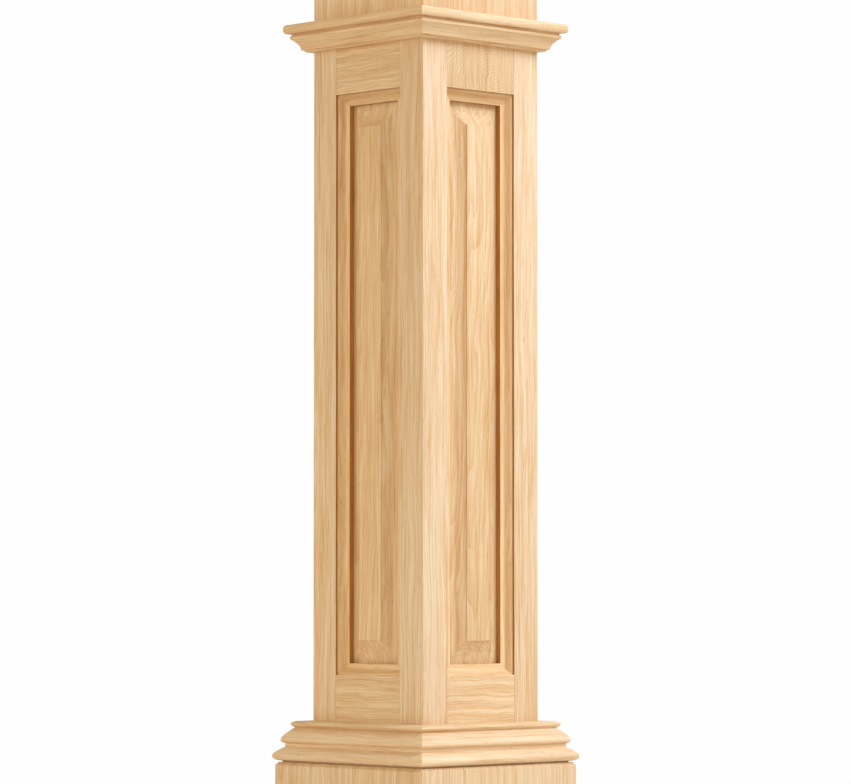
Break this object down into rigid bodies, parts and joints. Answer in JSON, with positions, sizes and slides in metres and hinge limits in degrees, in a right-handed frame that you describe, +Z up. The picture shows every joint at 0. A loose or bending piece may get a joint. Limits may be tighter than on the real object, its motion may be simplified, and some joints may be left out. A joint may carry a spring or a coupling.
{
  "type": "newel post",
  "caption": "Square hollow box newel post with a raised panel in each framed face, neck and base mouldings, a plain upper block and a low cap.",
  "frame": {"origin": "middle of the underside, on the floor", "axes": "+Z up along the post, -Y out of the front panel face, +X out of the right panel face; all four faces are alike"},
  "size_m": [0.2172, 0.2172, 1.2192],
  "materials": {
    "stile_oak": "bare sanded oak, no stain",
    "rail_oak": "bare sanded oak, no stain",
    "panel_oak": "bare sanded oak, no stain",
    "moulding_oak": "bare sanded oak, no stain",
    "plinth_oak": "bare sanded oak, no stain",
    "block_oak": "bare sanded oak, no stain",
    "cap_oak": "bare sanded oak, no stain"
  },
  "bodies": {
    "root": {"front_left_stile": "stile_oak", "front_right_stile": "stile_oak", "front_bottom_rail": "rail_oak", "front_top_rail": "rail_oak", "front_raised_panel": "panel_oak", "front_panel_mould_left": "moulding_oak", "front_panel_mould_right": "moulding_oak", "front_panel_mould_bottom": "moulding_oak", "front_panel_mould_top": "moulding_oak", "front_plinth_board": "plinth_oak", "front_base_moulding": "moulding_oak", "front_neck_moulding": "moulding_oak", "front_upper_block_board": "block_oak", "front_cap_moulding": "moulding_oak", "right_left_stile": "stile_oak", "right_right_stile": "stile_oak", "right_bottom_rail": "rail_oak", "right_top_rail": "rail_oak", "right_raised_panel": "panel_oak", "right_panel_mould_left": "moulding_oak", "right_panel_mould_right": "moulding_oak", "right_panel_mould_bottom": "moulding_oak", "right_panel_mould_top": "moulding_oak", "right_plinth_board": "plinth_oak", "right_base_moulding": "moulding_oak", "right_neck_moulding": "moulding_oak", "right_upper_block_board": "block_oak", "right_cap_moulding": "moulding_oak", "back_left_stile": "stile_oak", "back_right_stile": "stile_oak", "back_bottom_rail": "rail_oak", "back_top_rail": "rail_oak", "back_raised_panel": "panel_oak", "back_panel_mould_left": "moulding_oak", "back_panel_mould_right": "moulding_oak", "back_panel_mould_bottom": "moulding_oak", "back_panel_mould_top": "moulding_oak", "back_plinth_board": "plinth_oak", "back_base_moulding": "moulding_oak", "back_neck_moulding": "moulding_oak", "back_upper_block_board": "block_oak", "back_cap_moulding": "moulding_oak", "left_left_stile": "stile_oak", "left_right_stile": "stile_oak", "left_bottom_rail": "rail_oak", "left_top_rail": "rail_oak", "left_raised_panel": "panel_oak", "left_panel_mould_left": "moulding_oak", "left_panel_mould_right": "moulding_oak", "left_panel_mould_bottom": "moulding_oak", "left_panel_mould_top": "moulding_oak", "left_plinth_board": "plinth_oak", "left_base_moulding": "moulding_oak", "left_neck_moulding": "moulding_oak", "left_upper_block_board": "block_oak", "left_cap_moulding": "moulding_oak", "cap": "cap_oak"}
  },
  "joints": []
}
